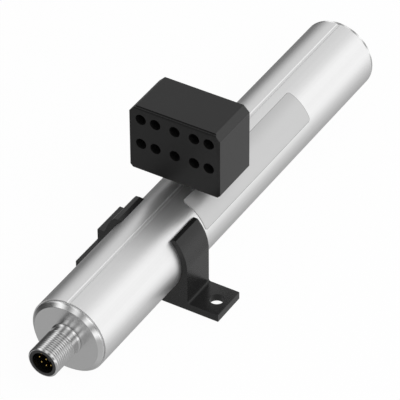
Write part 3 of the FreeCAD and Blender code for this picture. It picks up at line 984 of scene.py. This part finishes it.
def make_nameplate_film():
    rows = film_rows()
    width = rows[-1]
    points = []
    for along in rows:
        inset = film_inset(along, width)
        start = FILM_START + inset
        end = FILM_START + FILM_LENGTH - inset
        at_end_row = along in (rows[0], rows[-1])
        angle = FILM_FIRST_ANGLE + math.degrees(along / tube_radius_mm)
        places = [
            (start, 0.0), (start + FILM_EDGE, 1.0), (start + FILM_BORDER, 1.0),
            (end - FILM_BORDER, 1.0), (end - FILM_EDGE, 1.0), (end, 0.0),
        ]
        for x, lift in places:
            height = 0.0 if at_end_row else lift * FILM_THICKNESS
            y, z = on_circle(tube_radius_mm + height, angle)
            points.append(placed(x, y, z))
    columns = len(places)
    faces = grid_faces(len(rows), columns, rows_closed=False, columns_closed=False)
    piece = new_piece("nameplate_film", points, faces)
    dress(piece, "nameplate_label", "sensor", "label_film")
    last_row = len(rows) - 2
    last_column = columns - 2

    def on_border(face):
        row, column = divmod(face.index, last_column + 1)
        at_side = min(row, last_row - row) < BORDER_ROWS
        return at_side or min(column, last_column - column) < BORDER_COLUMNS

    # The cut edge and the border beside it get painted shade: the darker grey film.
    repaint(piece, "label_edge_painted_shade", on_border)


make_nameplate_film()

# %% [markdown]
# ## The clamp
# The clamp is one moulding with a constant section: two springy arms that snap round the
# tube, a thick block on its left and two screw feet. Each arm's tip has a contact edge, a
# ridge and a shoulder, and the two tips differ a little. The section is drawn once with arcs
# and soft corners, extruded and drilled, and its edges are rounded a little.

# %% Clamp
CLAMP_BORE = 15.06
CLAMP_OUTER = 17.3
CLAMP_BLOCK = 20.2
CLAMP_BLOCK_TOP = 3.9
CLAMP_FOOT_THICKNESS = 3.0
CLAMP_FOOT_END = 30.0
CLAMP_LEFT_OUTER = 17.45
CLAMP_TOP = 11.76
LEFT_CONTACT_ANGLE = 39.6
LEFT_RIDGE = 11.4
LEFT_SHOULDER_ANGLE = 48.4
RIGHT_CONTACT_ANGLE = 43.1
RIGHT_RIDGE = 10.95
RIGHT_SHOULDER_ANGLE = 47.2
CLAMP_HOLE_RADIUS = 2.75
CLAMP_HOLE_PLACE = 25.0
INNER_CORNER = 1.0
TIP_CORNER = 0.12
FOOT_CORNER = 0.3
ARC_STEP = 3.0
CLAMP_EDGE = 0.08
CUT_MARGIN = 1.0


def arc_corners(radius, first, last):
    """Corners on a circle round the housing's line, strictly between two angles."""
    count = max(2, round(abs(last - first) / ARC_STEP))
    angles = [first + (last - first) * step / count for step in range(1, count)]
    return [(*on_circle(radius, angle), 0) for angle in angles]


def clamp_corners():
    """The clamp's section, from its left foot round the two arms to its right foot."""
    bottom = above_line(0)
    foot_top = bottom + CLAMP_FOOT_THICKNESS
    block_angle = math.degrees(math.acos(CLAMP_BLOCK_TOP / CLAMP_LEFT_OUTER))
    return [
        (CLAMP_FOOT_END, bottom, 0),
        (CLAMP_FOOT_END, foot_top, FOOT_CORNER),
        (CLAMP_BLOCK, foot_top, INNER_CORNER),
        (CLAMP_BLOCK, CLAMP_BLOCK_TOP, FOOT_CORNER),
        (*on_circle(CLAMP_LEFT_OUTER, -block_angle), INNER_CORNER),
        *arc_corners(CLAMP_LEFT_OUTER, -block_angle, -LEFT_SHOULDER_ANGLE),
        (*on_circle(CLAMP_LEFT_OUTER, -LEFT_SHOULDER_ANGLE), TIP_CORNER),
        (LEFT_RIDGE, CLAMP_TOP, TIP_CORNER),
        (*on_circle(CLAMP_BORE, -LEFT_CONTACT_ANGLE), TIP_CORNER),
        *arc_corners(CLAMP_BORE, -LEFT_CONTACT_ANGLE, RIGHT_CONTACT_ANGLE - 360),
        (*on_circle(CLAMP_BORE, RIGHT_CONTACT_ANGLE), TIP_CORNER),
        (-RIGHT_RIDGE, CLAMP_TOP, TIP_CORNER),
        (*on_circle(CLAMP_OUTER, RIGHT_SHOULDER_ANGLE), TIP_CORNER),
        *arc_corners(CLAMP_OUTER, RIGHT_SHOULDER_ANGLE, 90),
        (-CLAMP_OUTER, 0, 0),
        (-CLAMP_OUTER, foot_top, INNER_CORNER),
        (-CLAMP_FOOT_END, foot_top, FOOT_CORNER),
        (-CLAMP_FOOT_END, bottom, 0),
    ]


def make_tube_clamp():
    low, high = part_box("mounting_clamp")
    start = from_front(low.x)
    end = from_front(high.x)
    piece = extruded("tube_clamp", softened(clamp_corners()), start, end)
    bottom = above_line(0) - CUT_MARGIN
    top = above_line(0) + CLAMP_FOOT_THICKNESS + CUT_MARGIN
    middle = (start + end) / 2
    sides = (CLAMP_HOLE_PLACE, -CLAMP_HOLE_PLACE)
    drill(piece, [upright_cutter(CLAMP_HOLE_RADIUS, middle, y, bottom, top) for y in sides])
    round_edges(piece, CLAMP_EDGE)
    return piece


dress(make_tube_clamp(), "mounting_clamp", "clamp", "black_clamp")

# %% [markdown]
# ## The position magnet
# The block is a black moulding with wide bevels along its top, narrow ones below and ten
# screw holes right through. Its front top edge falls in two small steps, so it is lofted
# through five sections, then drilled, hollowed from below for its magnets and rounded. The
# walls of the holes are painted near black, which is painted shade, and the block's flanks
# and bevels are painted a lighter black, which is painted light.

# %% Magnet block
MAGNET_TOP_BEVEL = 2.4
MAGNET_LOW_BEVEL = 1.1
MAGNET_FRONT_STEPS = [(0.0, 1.1), (0.3, 0.4), (0.9, 0.4), (1.05, 0.0)]
MAGNET_HOLE_RADIUS = 2.15
MAGNET_HOLE_PLACES = (0.0, -8.0, 8.0, -14.0, 14.0)
MAGNET_HOLE_HEIGHTS = (11.7, 22.4)
MAGNET_POCKET_WALL = 3.2
MAGNET_POCKET_DEPTH = 8.2
MAGNET_EDGE = 0.06
LID_EDGE = 0.2
FLANK_LIMIT = 0.5


def magnet_section(low, high, drop):
    """The block's (y, z) outline in mm, with its top lowered by a drop."""
    half = (high.y - low.y) / 2 / MM
    bottom = low.z / MM
    top = high.z / MM
    right_side = [
        (-half + MAGNET_LOW_BEVEL, bottom),
        (-half, bottom + MAGNET_LOW_BEVEL),
        (-half, top - MAGNET_TOP_BEVEL),
        (-half + MAGNET_TOP_BEVEL - drop, top - drop),
    ]
    return right_side + [(-y, z) for y, z in reversed(right_side)]


def magnet_loft(low, high):
    """The block before it is drilled, with its front top edge stepped."""
    stations = [(low.x + x * MM, drop) for x, drop in MAGNET_FRONT_STEPS] + [(high.x, 0.0)]
    sections = []
    for x, drop in stations:
        sections.append([(x, y * MM, z * MM) for y, z in magnet_section(low, high, drop)])
    return lofted("magnet_block", sections)


def bore_centres(bottom):
    """The (y, z) places of the ten screw holes in mm, above a bottom."""
    return [(y, bottom + height) for height in MAGNET_HOLE_HEIGHTS for y in MAGNET_HOLE_PLACES]


def magnet_cutters(low, high):
    """The ten screw holes and the pocket for the magnets."""
    start = from_front(low.x)
    end = from_front(high.x)
    bottom = above_line(low.z)
    outer = start - CUT_MARGIN
    far = end + CUT_MARGIN
    bore = [(outer, 0), (outer, MAGNET_HOLE_RADIUS), (far, MAGNET_HOLE_RADIUS), (far, 0)]
    centres = bore_centres(bottom)
    cutters = [spun("cutter", bore, even_turn(HOLE_SIDES), centre) for centre in centres]
    half = (high.y - low.y) / 2 / MM - MAGNET_POCKET_WALL
    floor = bottom + MAGNET_POCKET_DEPTH
    below = bottom - CUT_MARGIN
    pocket = [(-half, below), (half, below), (half, floor), (-half, floor)]
    pocket_start = start + MAGNET_POCKET_WALL
    cutters.append(extruded("cutter", pocket, pocket_start, end - MAGNET_POCKET_WALL))
    return cutters


def in_bore(place, low, high):
    """Whether a place is on the wall of one of the screw holes."""
    margin = 2 * MAGNET_EDGE * MM
    if not low.x + margin < place.x < high.x - margin:
        return False
    y = place.y / MM
    z = above_line(place.z)
    gaps = [math.dist((y, z), centre) for centre in bore_centres(above_line(low.z))]
    return min(gaps) < MAGNET_HOLE_RADIUS + MAGNET_EDGE


def make_magnet_block():
    low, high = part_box("magnet_housing")
    piece = magnet_loft(low, high)
    drill(piece, magnet_cutters(low, high))
    round_edges(piece, MAGNET_EDGE)
    dress(piece, "magnet_housing", "position_magnet", "black_magnet_housing")
    # The walls of the screw holes get painted shade: a near-black copy of the plastic.
    repaint(piece, "bore_black", lambda face: in_bore(face.center, low, high))

    # Faces that look sideways, the flanks and the bevels, get painted light: a lighter black.
    def on_flank(face):
        return face.material_index == 0 and abs(face.normal.y) > FLANK_LIMIT

    repaint(piece, "magnet_flank", on_flank)


def make_magnet_lid():
    """The plate that closes the block from below."""
    low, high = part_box("magnet_cover")
    bottom = above_line(low.z)
    top = above_line(high.z)
    half = high.y / MM
    outline = [(-half, bottom), (half, bottom), (half, top), (-half, top)]
    piece = extruded("magnet_lid", outline, from_front(low.x), from_front(high.x))
    round_edges(piece, LID_EDGE)
    return piece


make_magnet_block()
dress(make_magnet_lid(), "magnet_cover", "position_magnet", "black_magnet_housing")

# %% [markdown]
# ## The pieces inside
# Seals, boards and the sensing wire keep the shapes of the construction model, because only
# a cut or a look through a hole shows them. They still get a finish of their own, by the name
# of the slot that each one came with.

# %% Finish the inner pieces
kept = 0
for node_name, node_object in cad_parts.items():
    for material_slot in node_object.material_slots:
        slot_name = material_slot.material.name.split(".")[0]
        if slot_name in finishes:
            material_slot.material = finishes[slot_name]
            kept += 1
print("construction nodes with a finish", kept)

# %% [markdown]
# ## The studio
# Bright metal shows its surroundings more than itself, so the surroundings are the real work
# here. A tube along X sees one ring of the studio, so the studio's grey is a ramp over the
# turn round X: a bright wall on the right, a dimmer ceiling, a dark gap low on the left and
# a dim floor. In front, light panels with dark gaps between them make the sparkle on the
# rim and the thread. They fade straight ahead, so that the flat faces stay calm, and there
# their gaps aren't quite dark. The camera itself sees plain white.

# %% Studio light
WALL_STOPS = [
    (-180, 0.35), (-140, 0.29), (-126, 0.26), (-112, 0.12), (-100, 0.03), (-88, 0.06),
    (-76, 0.32), (-64, 0.65), (-52, 0.8), (-38, 0.71), (-22, 0.64), (-6, 0.71), (14, 0.71),
    (26, 0.79), (36, 0.98), (47, 1.13), (58, 1.05), (70, 0.92), (80, 0.97), (95, 1.13),
    (106, 1.07), (118, 0.82), (132, 0.57), (146, 0.52), (165, 0.42), (180, 0.35),
]
FRONT_STOPS = [
    (-180, 0.3), (-110, 0.08), (-80, 0.06), (-60, 0.1), (-20, 0.12), (60, 0.14), (100, 0.2),
    (125, 0.4), (180, 0.44),
]
PANEL_STOPS = [
    (-84, 0.0), (-70, 0.6), (-50, 1.1), (-25, 0.95), (-4, 0.85), (22, 0.95), (46, 1.15),
    (95, 1.0), (108, 0.5), (124, 0.0),
]
PANEL_STEP = 47.3
PANEL_CENTRE = -49.5
FRONT_FLOOR = 0.44
FLOOR_RANGE = (0.1, 0.4)
FRONT_RANGE = (0.0, 0.35)
HEAD_ON_LOSS = 0.75
HEAD_ON_RANGE = (0.74, 0.89)
GAP_SHARE = 0.09
GAP_RANGE = (0.56, 0.66)


def grey_ramp(tree, turn, stops):
    """A grey that follows the turn round X, from stops in degrees."""
    places = [((angle + 180) / 360, value) for angle, value in stops]
    return tree.add("ShaderNodeValToRGB", {"stops": places}, {0: turn / (2 * math.pi) + 0.5})


def studio_light(tree, x, z, turn):
    """How bright the studio is in a direction."""
    step = math.radians(PANEL_STEP)
    swing = (turn - math.radians(PANEL_CENTRE)) * (2 * math.pi / step)
    wave = tree.add("ShaderNodeMath", {"operation": "COSINE"}, {0: swing})
    ahead = 0 - x
    wall = grey_ramp(tree, turn, WALL_STOPS)
    reach = 1 - HEAD_ON_LOSS * ahead.ramp(*HEAD_ON_RANGE)
    gap = GAP_SHARE * ahead.ramp(*GAP_RANGE)
    share = 0.5 + 0.5 * wave
    panels = grey_ramp(tree, turn, PANEL_STOPS) * (share + gap * (1 - share)) * reach
    front = grey_ramp(tree, turn, FRONT_STOPS) + panels
    low = (0 - z).ramp(*FLOOR_RANGE)
    front = front + low * (FRONT_FLOOR - front)
    return wall + ahead.ramp(*FRONT_RANGE) * (front - wall)


def make_studio():
    world = bpy.data.worlds.new("studio")
    bpy.context.scene.world = world
    tree = Tree(world)
    direction = tree.add("ShaderNodeTexCoord", {}, {}, "Generated")
    x = tree.add("ShaderNodeSeparateXYZ", {}, {0: direction}, "X")
    y = x.output("Y")
    z = x.output("Z")
    turn = tree.add("ShaderNodeMath", {"operation": "ARCTAN2"}, {0: 0 - y, 1: z})
    light = studio_light(tree, x, z, turn)
    lit = tree.add("ShaderNodeBackground", {}, {"Color": grey(1), "Strength": light})
    plain = tree.add("ShaderNodeBackground", {}, {"Color": grey(1), "Strength": 1.0})
    seen = tree.add("ShaderNodeLightPath", {}, {}, "Is Camera Ray")
    both = tree.add("ShaderNodeMixShader", {}, {0: seen, 1: lit, 2: plain})
    tree.add("ShaderNodeOutputWorld", {}, {"Surface": both})


make_studio()

# %% [markdown]
# ## Floor and lamp
# The floor is a plain pale sheet. The camera sees it almost white and keeps a faint shadow
# of the object; everything else is lit by its diffuse part. One large soft lamp from the
# upper right models the black pieces a little more than the studio alone would.

# %% Floor and key lamp
FLOOR_HALF = 1.5
FLOOR_DROP = 0.05
SHADOW_SHARE = 0.04
PAPER_SCALE = 25.0
KEY_PLACE = (-0.35, -0.75, 0.85)
KEY_SIZE = 0.7
KEY_POWER = 6.0


def make_floor():
    half = FLOOR_HALF
    height = -FLOOR_DROP * MM
    corners = [(-half, -half), (half, -half), (half, half), (-half, half)]
    floor = new_piece("studio_floor", [(*corner, height) for corner in corners], [(0, 1, 2, 3)])
    material = bpy.data.materials.new("floor_paint")
    tree = Tree(material)
    paper = tree.noise(tree.place(), PAPER_SCALE)
    tone = tree.blend(paper, grey(0.83), grey(0.87))
    matt = tree.add("ShaderNodeBsdfDiffuse", {}, {"Color": tone})
    white = tree.add("ShaderNodeEmission", {}, {"Color": grey(1), "Strength": 1.0})
    seen = tree.add("ShaderNodeLightPath", {}, {}, "Is Camera Ray")
    share = seen * (1 - SHADOW_SHARE)
    both = tree.add("ShaderNodeMixShader", {}, {0: share, 1: matt, 2: white})
    tree.add("ShaderNodeOutputMaterial", {}, {"Surface": both})
    floor.data.materials.append(material)
    floor.visible_glossy = False


def make_key_lamp():
    lamp = bpy.data.lights.new("key_lamp", "AREA")
    lamp.shape = "SQUARE"
    lamp.size = KEY_SIZE
    lamp.energy = KEY_POWER
    holder = new_object("key_lamp", lamp)
    holder.location = KEY_PLACE
    aim = Vector((0, 0, AXIS_HEIGHT)) - Vector(KEY_PLACE)
    holder.rotation_euler = aim.to_track_quat("-Z", "Y").to_euler()
    holder.visible_glossy = False


make_floor()
make_key_lamp()

# %% [markdown]
# ## The camera
# The view is a long lens from the front right and above. Its turn, height, roll, distance and
# focal length were fitted so that the housing's edges and the magnet's corners fall where
# they do in the reference view of 400 by 400 pixels.

# %% Camera
VIEW_AZIMUTH = math.radians(-58.837)
VIEW_ELEVATION = math.radians(38.644)
VIEW_ROLL = math.radians(-0.335)
VIEW_DISTANCE = 1.1951
VIEW_FOCAL_PIXELS = 3273.4
VIEW_PIXELS = 400
SENSOR_WIDTH = 36.0
AIM_FROM_FRONT = 97.0
AIM_RIGHT = -3.628
AIM_UP = -4.226
CLIP_END = 10.0


def make_camera():
    back = Vector((
        math.sin(VIEW_AZIMUTH) * math.cos(VIEW_ELEVATION),
        -math.cos(VIEW_AZIMUTH) * math.cos(VIEW_ELEVATION),
        math.sin(VIEW_ELEVATION),
    ))
    right = Vector((math.cos(VIEW_AZIMUTH), math.sin(VIEW_AZIMUTH), 0))
    up = back.cross(right)
    aim = Vector((FRONT + AIM_FROM_FRONT * MM, 0, AXIS_HEIGHT))
    aim += (right * AIM_RIGHT + up * AIM_UP) * MM
    rolled_right = right * math.cos(VIEW_ROLL) + up * math.sin(VIEW_ROLL)
    rolled_up = up * math.cos(VIEW_ROLL) - right * math.sin(VIEW_ROLL)
    lens = bpy.data.cameras.new("view")
    lens.sensor_width = SENSOR_WIDTH
    lens.lens = VIEW_FOCAL_PIXELS / VIEW_PIXELS * SENSOR_WIDTH
    lens.clip_end = CLIP_END
    camera = new_object("view", lens)
    turn = Matrix((rolled_right, rolled_up, back)).transposed().to_4x4()
    camera.matrix_world = Matrix.Translation(aim + back * VIEW_DISTANCE) @ turn
    bpy.context.scene.camera = camera
    print("camera at", [round(value, 4) for value in camera.matrix_world.translation])


make_camera()
bpy.context.scene.view_settings.view_transform = "Standard"
